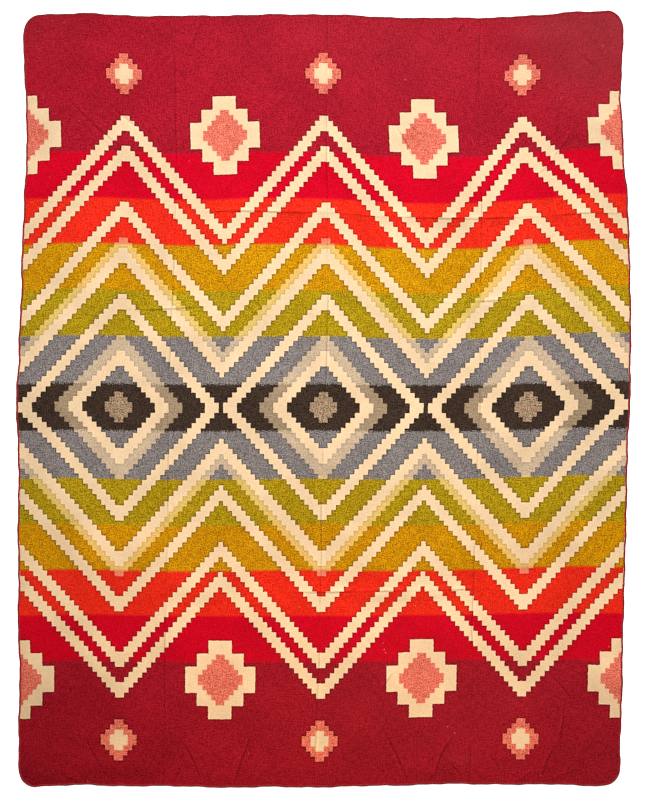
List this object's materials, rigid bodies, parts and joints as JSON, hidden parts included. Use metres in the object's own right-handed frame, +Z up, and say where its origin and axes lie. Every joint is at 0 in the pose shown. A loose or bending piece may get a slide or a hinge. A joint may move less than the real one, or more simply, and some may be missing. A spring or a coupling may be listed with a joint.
{
  "type": "alpaca blanket",
  "caption": "Large woven blanket lying flat, rounded corners, banded and figured cloth, overlocked edge all round.",
  "frame": {"origin": "centre of the blanket's bounding box, at the height of the surface it lies on", "axes": "+X across the width, +Y along the length, +Z up out of the cloth's face"},
  "size_m": [1.906, 2.4056, 0.0115],
  "materials": {
    "woven_cloth": "soft brushed jacquard weave, matte, banded in burgundy, crimson, orange red, mustard, olive, slate and charcoal with cream figures",
    "edging_thread": "crimson overlock stitching, matte yarn with a slight sheen"
  },
  "bodies": {
    "root": {"woven_panel": "woven_cloth", "overlock_edging": "edging_thread"}
  },
  "joints": []
}
